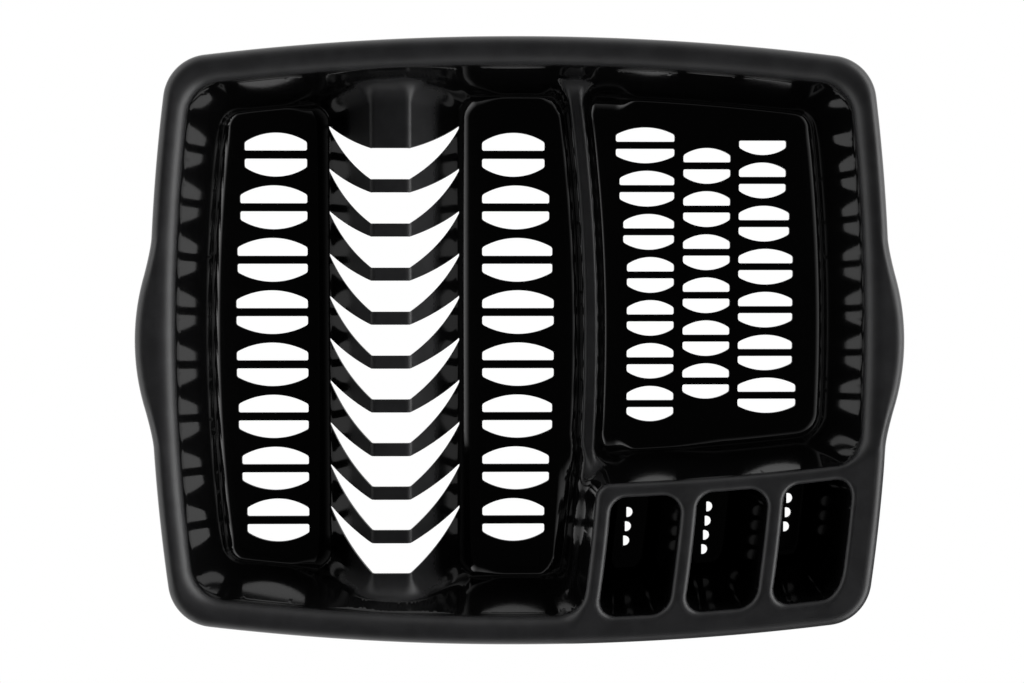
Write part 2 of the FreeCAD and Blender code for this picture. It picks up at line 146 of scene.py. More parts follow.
RIGHT_COLUMN_STEPS = (0, 1, 2, 2, 2, 3)
CUP_HOLE_LENGTH = 7.0
CUP_HOLE_WIDTH = 4.3
CUP_HOLE_PITCH = 9.8
CUP_HOLE_RIGHT = 0.9
CUP_HOLE_COUNTS = (3, 4, 3)
CUP_HOLE_FIRST_Y = (-119.7, -116.0, -110.3)

# Rounds of the moulding
RIM_OUTER_R = 8.0
RIM_INNER_R = 10.5
BLOCK_TOP_R = 4.5
CUP_EDGE_R = 4.2
HUMP_EDGE_R = 2.4
DIVIDER_EDGE_R = 2.6
HUMP_FOOT_R = 8.0
DIVIDER_FOOT_R = 8.0
SIDE_FOOT_R = 8.0  # at the left and right walls
END_FOOT_R = 3.0  # at the back and front walls
FLARE_R = 15.0  # where the hump, the divider and the block run into a wall
CUP_FOOT_R = 6.0
GRIP_END_R = 0.8
SKIRT_EDGE_R = 0.8
HUMP_FLARE = (45, 75)  # distances from the hump's middle over which its flare dies out
DIVIDER_FLARE = (16, 34)  # and from the divider's
FOOT_CHANGE = 20.0  # how far each side of a corner the wall's foot radius changes
BLOCK_EDGE_CHANGE = (-6, 14)  # where the block's edge radius turns into the rim's

# Foot pads
FOOT_SIDES = 48
FOOT_SOLE = 0.82
FOOT_EDGE_R = 0.8
FOOT_NECK = ((0.92, 0.8), (0.95, 0.93), (1.0, 1.0))  # (part of the radius, part of the height)

# Mesh density
LIP = 3.5  # how far in from the rim's outer edge the lifted surface ends and the swept lip begins
LOOP_STEP = 2.6
GRID_STEP = 4.2
FINE_STEP = 2.0
HOLE_STEP = 1.3
CLOSEST = 0.55  # no two plan points are nearer than this
RIM_ROWS = (4.2, 5, 5.9, 6.9, 8, 9.4, 11)
RIM_BORDER = 10.2  # how far outside the floor's edge the rim's pieces begin
BLOCK_BORDER = (HEIGHT - FLOOR_TOP) * BLOCK_DRAFT
CUP_BORDER = 3.4
ZONE_LINE_END = 170.0  # the lines along the hump reach past the floor to here
CORNER_LINE_START = 0.93  # the lines at the corners, as parts of the way to the floor's corner
CORNER_LINE_END = 1.3
SMOOTH_SIDE = 0.6  # sides of an opening that turn by less than this cosine shade as one
SLOT_ARC_STEP = 1.5
SLOT_STEP = 1.8
CUP_HOLE_ARC_STEP = 0.8
CUP_HOLE_STEP = 1.2
BLOCK_TURN = (200, 65)  # degrees, about a place inside the block's corner
BLOCK_TURN_STEP = 1.2
BLOCK_TURN_CENTRE = (12, 10)
BLOCK_REACH = 90
BLOCK_ROW_FRONT = -190
CUP_TURN_STEP = 1.8
CUP_REACH = 60
HALVINGS = 32
SLOPE_STEP = 0.04
EDGE_SLOPE_STEP = 0.02
LIP_STEPS = 8
SKIRT_STEPS = 4
INNER_LIP_STEPS = 5
SOLE_STEPS = 5
FRONT_END = -178.0  # the rows of points over the hump run from here
BACK_END = 178.0
DIVIDER_ROW_ENDS = (-110.0, 182.0)
PAST_END = 0.1  # so that a row holds its last point

# Rows of points, as distances outside the floor's edge, from the hump's middle, across the divider,
# and outside the edges of the block and the cups
TUB_ROWS = (-9, -7.4, -6.2, -5, -3.9, -2.9, -2, -1.2, -0.5, 0.6, 1.2, 2.1, 3.1, 4.2, 5.3, 6.4)
TUB_ROWS += (7.5, 8.5, 9.4, 11, 11.8, 12.6, 13.5, 14.5, 15.6, 16.8, 18.2, 19.8)
HUMP_ROWS = (0, 5, 9, 10.2, 11.2, 12.2, 13.2, 14.2, 16, 20, 25)
HUMP_ROWS += (30, 35, 40, 42, 44.6, 46, 47.5, 49, 50.5, 52, 53.5)
DIVIDER_ROWS = (28, 30, 31.6, 33, 35.6, 36.9, 38.4, 40, 41, 41.9, 42.8, 43.7, 44.8, 46.7, 48.6)
DIVIDER_ROWS += (49.6, 50.5, 51.4, 52.3, 53.2, 54.1, 55, 56, 57.2, 58.4, 59.6, 62, 63.2, 65, 68)
BLOCK_ROWS = (-6, -4.6, -3.6, -2.7, -1.9, -1.1, -0.3, 0.6, 1.8, 3.5, 5.5, 7.5, 9.5, 11.5, 13)
BLOCK_ROWS += (14, 16.2, 17.2, 18.4, 19.8, 21.4, 23)
CUP_ROWS = (3.6, 2.7, 1.9, 1.2, 0.6, 0, -0.6, -1.3, -2.3, -4.5, -5.4, -6.1, -6.8, -7.5)
CUP_ROWS += (-8.3, -9.2, -10.2, -11.4, -12.8)
FINE_PATCHES = (  # x from and to, y from and to
    (HUMP_X - 66, HUMP_X + 66, 128, 178),
    (HUMP_X - 66, HUMP_X + 66, -178, -128),
    (20, 78, 132, 180),
    (25, 75, -182, -60),
    (180, 226, -100, -55),
)

# Plastic
INDEX_OF_REFRACTION = 1.49
GLOSS_ROUGHNESS = 0.09
SATIN_ROUGHNESS = 0.36
# Base colours: the gloss colour is the plastic's own black; the lighter colour on raised upward faces is
# painted light on the tops
GLOSS_SHADE = 0.004
SATIN_PAINTED_LIGHT_TONE = 0.03
BLUE_SHIFT = 1.05
RAISED = (0.030, 0.046)  # heights over which the satin finish and the painted light on the tops begin
UPWARD = (0.25, 0.6)  # upward parts of the normal over which the satin finish and the painted light begin
NOISE_SPREAD = (0.3, 0.7)
CLOUD_SCALE = 14.0
CLOUD_DEPTH = 0.02
GRAIN_SCALE = 420.0
GRAIN_DEPTH = 0.015
MOTTLE_SCALE = 60.0
MOTTLE_SPREAD = (0.35, 0.65)
MOTTLE_DEPTH = 0.15
RIPPLE_SCALE = 95.0
RIPPLE_STRENGTH = 0.25
RIPPLE_DEPTH = 0.00006
TEXTURE_SCALE = 1900.0
TEXTURE_DEPTH = 0.000012

# Studio
FLOOR_SIZE = 60.0
FLOOR_GLOW = 1.1  # what reflections see of the floor around the rack
SHADED_GLOW = 0.3  # and of the floor under it
SHADE_POWER = 4.0  # the shaded patch is a rounded rectangle
SHADE_EDGE = (0.55, 1.3)
CUP_SHADE = 0.12  # how much of the shaded glow is left under the cups
CUP_SHADE_SIDE = 10.0  # how far left of the divider that begins
CUP_SHADE_EDGE = 5.0
OVERHEAD_GLOW = 0.02
ROUND_GLOW = 0.7
LEFT_GLOW = 1.9
ROUND_FADE = (0.0, 0.75)  # the glow fades between these heights on a unit sphere
KEY_GLOW = 3.0
KEY_FADE = (0.3, 0.72)
SIDE_START = 0.3  # how far to the side a direction points where the glow starts to change
SIDE_END = 0.8

# Camera, in millimetres like the sizes
SENSOR_WIDTH = 36.0
LENS = 54.84
CAMERA_PLACE = (-19.3, 47.0, 1069.0)
CAMERA_TARGET = (-4.396, -2.853, 11.0)


# Plan lines. Each gives the signed distance from a bowed line and the unit normal.
def side_line(x, y, at, bow):
    """Positive on the +X side of the line through (at, 0) that bows to +X (bow 1) or -X (bow -1)."""
    run = x - at + bow * SIDE_R
    reach = np.hypot(run, y)
    return bow * (reach - SIDE_R), bow * run / reach, bow * y / reach


def end_line(x, y, at, bow):
    """Positive on the +Y side of the line through (0, at) that bows to +Y (bow 1) or -Y (bow -1)."""
    run = y - at + bow * END_R
    reach = np.hypot(run, x)
    return bow * (reach - END_R), bow * x / reach, bow * run / reach


def flipped(line):
    return tuple(-part for part in line)


def rounded(a, b, radius):
    """The signed distance outside the corner of two lines, rounded to this radius."""
    (da, ax, ay), (db, bx, by) = a, b
    lean = ax * bx + ay * by
    p, q = da + radius, db + radius
    arc = np.sqrt(np.maximum(p * p + q * q - 2 * lean * p * q, 0) / (1 - lean * lean)) - radius
    return np.where((p > lean * q) & (q > lean * p), arc, np.maximum(da, db))


def both(a, b, radius):
    """What is inside both a and b, with their edge rounded off."""
    reach = np.hypot(np.maximum(a + radius, 0), np.maximum(b + radius, 0))
    return np.minimum(-radius, np.maximum(a, b)) + reach


def either(a, b, radius):
    """What is inside a or b, with a fillet between them."""
    return -both(-a, -b, radius)


def smooth(low, high, value):
    t = np.clip((value - low) / (high - low), 0, 1)
    return t * t * (3 - 2 * t)


def barrel(x, y, half_x, half_y, radius):
    x, y = np.abs(x), np.abs(y)
    return rounded(side_line(x, y, half_x, 1), end_line(x, y, half_y, 1), radius)


def rim_field(x, y):
    """Signed distance outside the rim's outer edge, grips included."""
    rise = GRIP_REACH - side_x(RIM_HALF_X, GRIP_HALF_LENGTH)
    radius = (rise**2 + GRIP_HALF_LENGTH**2) / (2 * rise)
    grip = np.hypot(np.abs(x) - GRIP_REACH + radius, y) - radius
    return either(barrel(x, y, RIM_HALF_X, RIM_HALF_Y, RIM_CORNER_R), grip, GRIP_END_R)


def side_x(at, y):
    """The x at this y of a line through (at, 0) that bows to +X."""
    return at - SIDE_R + math.sqrt(SIDE_R**2 - y**2)


def cup_middle(index, y):
    return side_x(CUP_FIRST_LEFT + index * CUP_PITCH + CUP_WIDTH / 2, y)


def cup_side_field(index, x, y):
    """Signed distance outside a cup's left, back and right sides at rim level."""
    left = CUP_FIRST_LEFT + index * CUP_PITCH
    back = end_line(x, y, CUP_BACK, -1)
    left_side = rounded(flipped(side_line(x, y, left, 1)), back, CUP_CORNER_R)
    right_side = rounded(side_line(x, y, left + CUP_WIDTH, 1), back, CUP_CORNER_R)
    return np.maximum(left_side, right_side)


def plan_at(x, y):
    """Every plan distance that the form needs, at these points."""
    tuck = DIVIDER_TUCK * smooth(-DIVIDER_TUCK_RUN, 0, BLOCK_BACK - y)
    plan = {
        "x": x,
        "tub": barrel(x, y, FLOOR_HALF_X, FLOOR_HALF_Y, TUB_CORNER_R),
        "rim": rim_field(x, y),
        "hump": np.abs(x - HUMP_X) - HUMP_TOP_HALF,
        "divider_left": tuck - side_line(x, y, DIVIDER_LEFT_TOP, 1)[0],
        "divider_right": side_line(x, y, DIVIDER_RIGHT_TOP, 1)[0],
    }
    plan["block"] = block_field(x, y)
    plan["cups"] = [cup_side_field(index, x, y) for index in range(CUP_COUNT)]
    near_hump = 1 - smooth(*HUMP_FLARE, np.abs(x - HUMP_X))
    near_divider = 1 - smooth(*DIVIDER_FLARE, np.abs(x - (DIVIDER_LEFT_TOP + DIVIDER_RIGHT_TOP) / 2))
    past_end = end_line(np.abs(x), np.abs(y), FLOOR_HALF_Y, 1)[0]
    past_side = side_line(np.abs(x), np.abs(y), FLOOR_HALF_X, 1)[0]
    near_end = smooth(-FOOT_CHANGE, FOOT_CHANGE, past_end - past_side)
    foot = SIDE_FOOT_R + (END_FOOT_R - SIDE_FOOT_R) * near_end
    plan["wall_foot"] = foot + (FLARE_R - foot) * np.maximum(near_hump, near_divider)
    return plan


def form_at(plan, z):
    """Signed distance above the moulding's top side; negative inside the plastic and below it."""
    up = z - FLOOR_TOP
    slope = (HUMP_BASE_HALF - HUMP_TOP_HALF) / (HUMP_TOP - FLOOR_TOP)
    hump_side = (plan["hump"] - (HUMP_TOP - z) * slope) / math.hypot(1, slope)
    ground = either(up, both(hump_side, z - HUMP_TOP, HUMP_EDGE_R), HUMP_FOOT_R)
    rise = DIVIDER_TOP - FLOOR_TOP
    left_slope = (DIVIDER_LEFT_TOP - DIVIDER_LEFT_BASE) / rise
    right_slope = (DIVIDER_RIGHT_BASE - DIVIDER_RIGHT_TOP) / rise
    left = (plan["divider_left"] - (DIVIDER_TOP - z) * left_slope) / math.hypot(1, left_slope)
    right = (plan["divider_right"] - (DIVIDER_TOP - z) * right_slope) / math.hypot(1, right_slope)
    divider = both(np.maximum(left, right), z - DIVIDER_TOP, DIVIDER_EDGE_R)
    ground = either(ground, divider, DIVIDER_FOOT_R)
    wall = -(plan["tub"] - up * TUB_DRAFT) / math.hypot(1, TUB_DRAFT)
    block = (plan["block"] - (HEIGHT - z) * BLOCK_DRAFT) / math.hypot(1, BLOCK_DRAFT)
    top_r = BLOCK_TOP_R + (RIM_INNER_R - BLOCK_TOP_R) * smooth(*BLOCK_EDGE_CHANGE, block - wall)
    raised = both(either(wall, block, FLARE_R), z - HEIGHT, top_r)
    raised = both(raised, plan["rim"], RIM_OUTER_R)
    body = either(ground, raised, plan["wall_foot"])
    for field in plan["cups"]:
        sides = (field + (HEIGHT - z) * CUP_DRAFT) / math.hypot(1, CUP_DRAFT)
        hollow = both(both(sides, -wall, CUP_CORNER_R), -up, CUP_FOOT_R)
        body = both(body, -hollow, CUP_EDGE_R)
    return body


def lift(plan, level):
    """The height at which the form has this level, over each plan point."""
    low = np.full(len(plan["x"]), FLOOR_TOP - 2 * WALL - 2)
    high = np.full(len(plan["x"]), HEIGHT + 1.0)
    for _ in range(HALVINGS):
        middle = (low + high) / 2
        above = form_at(plan, middle) > level
        high = np.where(above, middle, high)
        low = np.where(above, low, middle)
    return (low + high) / 2


def normals_at(x, y, z):
    h = SLOPE_STEP
    gradient = np.stack(
        [
            form_at(plan_at(x + h, y), z) - form_at(plan_at(x - h, y), z),
            form_at(plan_at(x, y + h), z) - form_at(plan_at(x, y - h), z),
            form_at(plan_at(x, y), z + h) - form_at(plan_at(x, y), z - h),
        ],
        1,
    )
    return gradient / np.linalg.norm(gradient, axis=1)[:, None]


# Outlines in plan
def arc_points(centre, radius, start, end, step):
    count = max(2, int(abs(end - start) * radius / step) + 1)
    angles = np.linspace(start, end, count)
    return centre + radius * np.stack([np.cos(angles), np.sin(angles)], 1)


def three_point_arc(a, b, c, step):
    """Points along the circle from a through b to c."""
    a, b, c = (np.array(p, float) for p in (a, b, c))
    m = np.array([b - a, c - a]) * 2
    centre = np.linalg.solve(m, [b @ b - a @ a, c @ c - a @ a])
    radius = np.linalg.norm(a - centre)
    start, middle, end = (math.atan2(*(p - centre)[::-1]) for p in (a, b, c))
    turn = 1 if (b[0] - a[0]) * (c[1] - a[1]) - (b[1] - a[1]) * (c[0] - a[0]) > 0 else -1
    sweep = (end - start) * turn % (2 * math.pi) * turn
    return arc_points(centre, radius, start, start + sweep, step)


def run_points(a, b, step):
    a, b = np.array(a, float), np.array(b, float)
    count = max(2, int(np.linalg.norm(b - a) / step) + 1)
    return a + (b - a) * np.linspace(0, 1, count)[:, None]


def joined(*runs):
    """One closed loop from runs that share their end points."""
    return np.concatenate([run[:-1] for run in runs])


def barrel_loop(half_x, half_y, radius, step):
    """Points and outward normals around a barrel outline."""
    side_centre = np.array([half_x - SIDE_R, 0])
    end_centre = np.array([0, half_y - END_R])
    reach_a, reach_b = SIDE_R - radius, END_R - radius
    gap = end_centre - side_centre
    distance = np.linalg.norm(gap)
    along = (distance**2 + reach_a**2 - reach_b**2) / (2 * distance)
    across = math.sqrt(reach_a**2 - along**2)
    unit = gap / distance
    corner = side_centre + unit * along + np.array([-unit[1], unit[0]]) * across
    first = math.atan2(*(corner - side_centre)[::-1])
    second = math.atan2(*(corner - end_centre)[::-1])
    quarter = []
    for centre, size, start, end, finest in (
        (side_centre, SIDE_R, 0, first, step),
        (corner, radius, first, second, step * 0.6),
        (end_centre, END_R, second, math.pi / 2, step),
    ):
        count = max(2, int((end - start) * size / finest) + 1)
        for angle in np.linspace(start, end, count)[:-1]:
            normal = np.array([math.cos(angle), math.sin(angle)])
            quarter.append((centre + size * normal, normal))
    points = np.array([p for p, _ in quarter])
    normals = np.array([n for _, n in quarter])
    turned = [(1, 1, 1), (-1, 1, -1), (-1, -1, 1), (1, -1, -1)]
    loop, outward = [], []
    for sx, sy, order in turned:
        p, n = points * (sx, sy), normals * (sx, sy)
        if order < 0:
            # The mirrored quarter starts where the last one stopped, at the axis.
            p = np.concatenate([[[0, half_y * sy]], p[:0:-1]])
            n = np.concatenate([[[0, sy]], n[:0:-1]])
        loop.append(p)
        outward.append(n)
    return np.concatenate(loop), np.concatenate(outward)


def crescent_loop(index):
    tip = FIRST_TIP_Y - index * RIB_PITCH
    outer, flank, inner = TIP_HALF, CRESCENT_FLANK, HUMP_TOP_HALF

    def at(x, y):
        return (HUMP_X + x, tip + y)

    back, back_flank = -CRESCENT_BACK_DROP, -CRESCENT_BACK_FLANK_DROP
    front, front_flank = -CRESCENT_FRONT_DROP, -CRESCENT_FRONT_FLANK_DROP
    return joined(
        three_point_arc(at(outer, 0), at(flank, back_flank), at(inner, back), HOLE_STEP),
        run_points(at(inner, back), at(-inner, back), HOLE_STEP),
        three_point_arc(at(-inner, back), at(-flank, back_flank), at(-outer, 0), HOLE_STEP),
        run_points(at(-outer, 0), at(-outer, -TIP_WIDTH), HOLE_STEP),
        three_point_arc(at(-outer, -TIP_WIDTH), at(-flank, front_flank), at(-inner, front), HOLE_STEP),
        run_points(at(-inner, front), at(inner, front), HOLE_STEP),
        three_point_arc(at(inner, front), at(flank, front_flank), at(outer, -TIP_WIDTH), HOLE_STEP),
        run_points(at(outer, -TIP_WIDTH), at(outer, 0), HOLE_STEP),
    )


def softened(loop, radii):
    """The polygon loop with the corner at each given point index cut to an arc of that radius."""
    result = []
    count = len(loop)
    for i, point in enumerate(loop):
        if i not in radii:
            result.append(point)
            continue
        radius = radii[i]
        before, after = loop[i - 1] - point, loop[(i + 1) % count] - point
        u, v = before / np.linalg.norm(before), after / np.linalg.norm(after)
        half = math.acos(max(-1, min(1, float(u @ v)))) / 2
        reach = radius / math.tan(half)
        bisector = (u + v) / np.linalg.norm(u + v)
        centre = point + bisector * radius / math.sin(half)
        a, b = point + u * reach, point + v * reach
        for t in np.linspace(0, 1, 5):
            spot = a + (b - a) * t - centre
            result.append(centre + spot / np.linalg.norm(spot) * radius)
    return np.array(result)


def half_slot_loop(x_low, x_high, y_flat, direction, sizes):
    """Half of a lens slot: a straight side on the bar, short ends and a shallow arc."""
    shoulder = y_flat + direction * sizes["shoulder"]
    top = y_flat + direction * sizes["half_height"]
    peak = ((x_low + x_high) / 2, top)
    arc = three_point_arc((x_low, shoulder), peak, (x_high, shoulder), SLOT_ARC_STEP)
    corners = np.array([[x_high, y_flat], [x_low, y_flat]])
    loop = np.concatenate([arc, corners])
    last = len(arc) - 1
    # The arc's points next to a shoulder make room for its round.
    keep = [i for i in range(len(loop)) if i not in (1, last - 1)]
    places = {0: SLOT_SHOULDER_R, last: SLOT_SHOULDER_R, last + 1: SLOT_FOOT_R, last + 2: SLOT_FOOT_R}
    radii = {keep.index(i): r for i, r in places.items()}
    loop = softened(loop[keep], radii)
    filled = []
    for a, b in zip(loop, np.roll(loop, -1, axis=0)):
        filled.append(run_points(a, b, SLOT_STEP)[:-1])
    loop = np.concatenate(filled)
    return loop if direction < 0 else loop[::-1]


def slot_pair(x_low, x_high, y_bar, sizes, halves=(1, -1)):
    gap = sizes["bar"] / 2
    return [half_slot_loop(x_low, x_high, y_bar + side * gap, side, sizes) for side in halves]


def slot_loops():
    loops = []
    for side in (-1, 1):
        for i in range(PLATE_SLOT_COUNT):
            offset = (i - (PLATE_SLOT_COUNT - 1) / 2) * PLATE_SLOT_PITCH
            outer = HUMP_X + side * (PLATE_SLOT_OUTER - offset**2 / (2 * SIDE_R))
            inner = HUMP_X + side * PLATE_SLOT_INNER
            y_bar = PLATE_SLOT_MID_Y + offset
            loops += slot_pair(min(inner, outer), max(inner, outer), y_bar, PLATE_SLOT)
    for steps_list, edge, side, first_y in (
        (LEFT_COLUMN_STEPS, LEFT_COLUMN_RIGHT, -1, LEFT_COLUMN_FIRST_Y),
        (MIDDLE_COLUMN_STEPS, MIDDLE_COLUMN_LEFT, 1, MIDDLE_COLUMN_FIRST_Y),
        (RIGHT_COLUMN_STEPS, RIGHT_COLUMN_LEFT, 1, RIGHT_COLUMN_FIRST_Y),
    ):
        for i, steps in enumerate(steps_list):
            far = edge + side * (SIDE_SLOT_WIDTH + steps * SIDE_SLOT_STEP)
            loops += slot_pair(min(edge, far), max(edge, far), first_y - i * SIDE_SLOT_PITCH, SIDE_SLOT)
    left, last_y = RIGHT_COLUMN_LEFT, RIGHT_COLUMN_FIRST_Y + SIDE_SLOT_PITCH
    return loops + slot_pair(left, left + SIDE_SLOT_WIDTH, last_y, SIDE_SLOT, halves=(-1,))


def cup_hole_loops():
    half = CUP_HOLE_LENGTH / 2
    loops = []
    for index in range(CUP_COUNT):
        for i in range(CUP_HOLE_COUNTS[index]):
            y = CUP_HOLE_FIRST_Y[index] - i * CUP_HOLE_PITCH
            x = cup_middle(index, y) + CUP_HOLE_RIGHT - CUP_HOLE_WIDTH
            arc = three_point_arc((x, y - half), (x + CUP_HOLE_WIDTH, y), (x, y + half), CUP_HOLE_ARC_STEP)
            loops.append(joined(arc, run_points(arc[-1], arc[0], CUP_HOLE_STEP)))
    return loops


def inside_loop(points, loop):
    """Which of the points lie inside a closed loop."""
    result = np.zeros(len(points), bool)
    low, high = loop.min(0), loop.max(0)
    near = np.all((points > low) & (points < high), axis=1)
    x, y = points[near].T
    hits = np.zeros(len(x), bool)
    for (x1, y1), (x2, y2) in zip(loop, np.roll(loop, -1, axis=0)):
        if y1 == y2:
            continue
        crosses = (y1 > y) != (y2 > y)
        hits ^= crosses & (x < (x2 - x1) * (y - y1) / (y2 - y1) + x1)
    result[near] = hits
    return result


# Plan points that follow each edge
def level_loop(base, outward, field, level, low, high):
    """The base loop's points moved along their normals to where the field has this level."""
    a, b = np.full(len(base), float(low)), np.full(len(base), float(high))
    for _ in range(HALVINGS):
        middle = (a + b) / 2
        spots = base + outward * middle[:, None]
        over = field(spots[:, 0], spots[:, 1]) > level
        b = np.where(over, middle, b)
        a = np.where(over, a, middle)
    return base + outward * ((a + b) / 2)[:, None]


def bowed_row(at, y):
    return np.stack([at - SIDE_R + np.sqrt(SIDE_R**2 - y**2), y], 1)


def block_field(x, y):
    line = flipped(side_line(x, y, BLOCK_LEFT, 1))
    return rounded(line, end_line(x, y, BLOCK_BACK, -1), BLOCK_CORNER_R)


def block_row(offset, step):
    """The block's outline at this distance outside its edge at rim level, to beyond both walls."""
    corner_front = BLOCK_BACK - BLOCK_CORNER_R
    left = bowed_row(BLOCK_LEFT - offset, np.arange(BLOCK_ROW_FRONT, corner_front - 2, step))
    first_turn, last_turn = BLOCK_TURN
    angles = np.radians(np.arange(first_turn, last_turn, -BLOCK_TURN_STEP))
    spokes = np.stack([np.cos(angles), np.sin(angles)], 1)
    right, front = BLOCK_TURN_CENTRE
    centre = np.array([[BLOCK_LEFT + BLOCK_CORNER_R + right, corner_front - front]])
    corner = level_loop(np.repeat(centre, len(angles), 0), spokes, block_field, offset, 0, BLOCK_REACH)
    x = np.arange(corner[-1, 0] + step, RIM_HALF_X, step)
    back = np.stack([x, BLOCK_BACK + offset + END_R - np.sqrt(END_R**2 - x**2)], 1)
    left = left[left[:, 1] < corner[0, 1] - step / 2]
    return np.concatenate([left, corner, back])


def cup_row(index, offset):
    """A closed loop at this distance outside a cup's edge at rim level."""
    turn = np.radians(np.arange(0, 360, CUP_TURN_STEP))
    spokes = np.stack([np.cos(turn), np.sin(turn)], 1)
    middle = np.array([[cup_middle(index, CUP_INNER_Y), CUP_INNER_Y + index * CUP_INNER_STEP]])

    def cup_field(x, y):
        wall = barrel(x, y, FLOOR_HALF_X, FLOOR_HALF_Y, TUB_CORNER_R) - (HEIGHT - FLOOR_TOP) * TUB_DRAFT
        return np.maximum(cup_side_field(index, x, y), wall)

    return level_loop(np.repeat(middle, len(turn), 0), spokes, cup_field, offset, 0, CUP_REACH)


def divider_row_y():
    front, back = DIVIDER_ROW_ENDS
    return np.arange(front, back + PAST_END, FINE_STEP)


def feature_points():
    """Rows of points along walls, hump, divider, block and cups, then a grid between them."""
    rows = []
    base, outward = barrel_loop(FLOOR_HALF_X, FLOOR_HALF_Y, TUB_CORNER_R, LOOP_STEP)
    rows += [base + outward * offset for offset in TUB_ROWS]
    y = np.arange(FRONT_END, BACK_END + PAST_END, FINE_STEP)
    for offset in HUMP_ROWS:
        for side in (-1, 1):
            rows.append(np.stack([np.full(len(y), HUMP_X + side * offset), y], 1))
    y = divider_row_y()
    rows += [bowed_row(at, y) for at in DIVIDER_ROWS]
    rows += [block_row(offset, FINE_STEP) for offset in BLOCK_ROWS]
    rows += [cup_row(index, offset) for index in range(CUP_COUNT) for offset in CUP_ROWS]
    for x_low, x_high, y_low, y_high in FINE_PATCHES:
        x, y = np.meshgrid(np.arange(x_low, x_high, FINE_STEP), np.arange(y_low, y_high, FINE_STEP))
        rows.append(np.stack([x.ravel(), y.ravel()], 1))
    x, y = np.meshgrid(
        np.arange(-GRIP_REACH, GRIP_REACH, GRID_STEP), np.arange(-RIM_HALF_Y, RIM_HALF_Y, GRID_STEP)
    )
    x[1::2] += GRID_STEP / 2
    rows.append(np.stack([x.ravel(), y.ravel()], 1))
    return np.concatenate(rows)


def piece_borders():
    """Open and closed lines along which the moulding is divided into pieces."""
    base, outward = barrel_loop(FLOOR_HALF_X, FLOOR_HALF_Y, TUB_CORNER_R, LOOP_STEP)
    closed = [base, base + outward * RIM_BORDER]
    closed += [cup_row(index, -CUP_BORDER) for index in range(CUP_COUNT)]
    lines = [block_row(BLOCK_BORDER, FINE_STEP)]
    y = divider_row_y()
    lines += [bowed_row(DIVIDER_ZONE_LEFT, y), bowed_row(DIVIDER_ZONE_RIGHT, y)]
    for side in (-1, 1):
        x = HUMP_X + side * TIP_HALF
        ends = [ZONE_LINE_END]
        for i in range(OPENING_COUNT):
            tip = FIRST_TIP_Y - i * RIB_PITCH
            ends += [tip, tip - TIP_WIDTH]
        ends.append(-ZONE_LINE_END)
        for start, end in zip(ends[::2], ends[1::2]):
            lines.append(run_points((x, start), (x, end), FINE_STEP))
        for y in (-GRIP_HALF_LENGTH, GRIP_HALF_LENGTH):
            lines.append(run_points((side * GRIP_ZONE_X, y), (side * GRIP_REACH, y), FINE_STEP))
        for sy in (-1, 1):
            far = np.array([side * FLOOR_HALF_X, sy * FLOOR_HALF_Y])
            lines.append(run_points(far * CORNER_LINE_START, far * CORNER_LINE_END, FINE_STEP))
    return closed, lines


class Sieve:
    """Remembers points, and tells whether a new one is clear of them all."""

    def __init__(self, size):
        self.size = size
        self.cells = {}

    def cell(self, point):
        return int(math.floor(point[0] / self.size)), int(math.floor(point[1] / self.size))

    def hold(self, point):
        self.cells.setdefault(self.cell(point), []).append(point)

    def clear(self, point):
        column, row = self.cell(point)
        for i in (-1, 0, 1):
            for j in (-1, 0, 1):
                for held in self.cells.get((column + i, row + j), ()):
                    if (held[0] - point[0]) ** 2 + (held[1] - point[1]) ** 2 < self.size**2:
                        return False
        return True


def triangulate():
    """Plan points and triangles, with the openings left out."""
    base, outward = barrel_loop(RIM_HALF_X, RIM_HALF_Y, RIM_CORNER_R, LOOP_STEP)
    edge_loop = level_loop(base, outward, rim_field, -LIP, -25, 13)
    holes = slot_loops() + cup_hole_loops() + [crescent_loop(i) for i in range(OPENING_COUNT)]
    closed, lines = piece_borders()
    points, edges = [], []
    sieve = Sieve(CLOSEST)
    for loop in [edge_loop] + holes + closed:
        first = len(points)
        edges += [(first + i, first + (i + 1) % len(loop)) for i in range(len(loop))]
        for point in loop:
            sieve.hold(point)
            points.append(tuple(point))
    for line in lines:
        line = line[rim_field(line[:, 0], line[:, 1]) < LIP]
        first = len(points)
        edges += [(first + i, first + i + 1) for i in range(len(line) - 1)]
        for point in line:
            sieve.hold(point)
            points.append(tuple(point))
    rim_rows = [level_loop(base, outward, rim_field, -e, -35, 13) for e in RIM_ROWS]
    free = np.concatenate(rim_rows + [feature_points()])
    free = free[rim_field(free[:, 0], free[:, 1]) < -LIP - CLOSEST]
    blocked = np.zeros(len(free), bool)
    for loop in holes:
        blocked |= inside_loop(free, loop)
    for point in free[~blocked]:
        if sieve.clear(point):
            sieve.hold(point)
            points.append(tuple(point))
    result = delaunay_2d_cdt([Vector(p) for p in points], edges, [], 0, 1e-4, False)
    flat = np.array([tuple(v) for v in result[0]])
    triangles = np.array([face for face in result[2] if len(face) == 3])
    a, b, c = (flat[triangles[:, i]] for i in range(3))
    area = (b[:, 0] - a[:, 0]) * (c[:, 1] - a[:, 1]) - (b[:, 1] - a[:, 1]) * (c[:, 0] - a[:, 0])
    triangles[area < 0] = triangles[area < 0][:, ::-1]
    centres = flat[triangles].mean(1)
    keep = (rim_field(centres[:, 0], centres[:, 1]) < -LIP + 0.02) & (np.abs(area) > 1e-5)
    for loop in holes:
        keep &= ~inside_loop(centres, loop)
    return flat, triangles[keep]


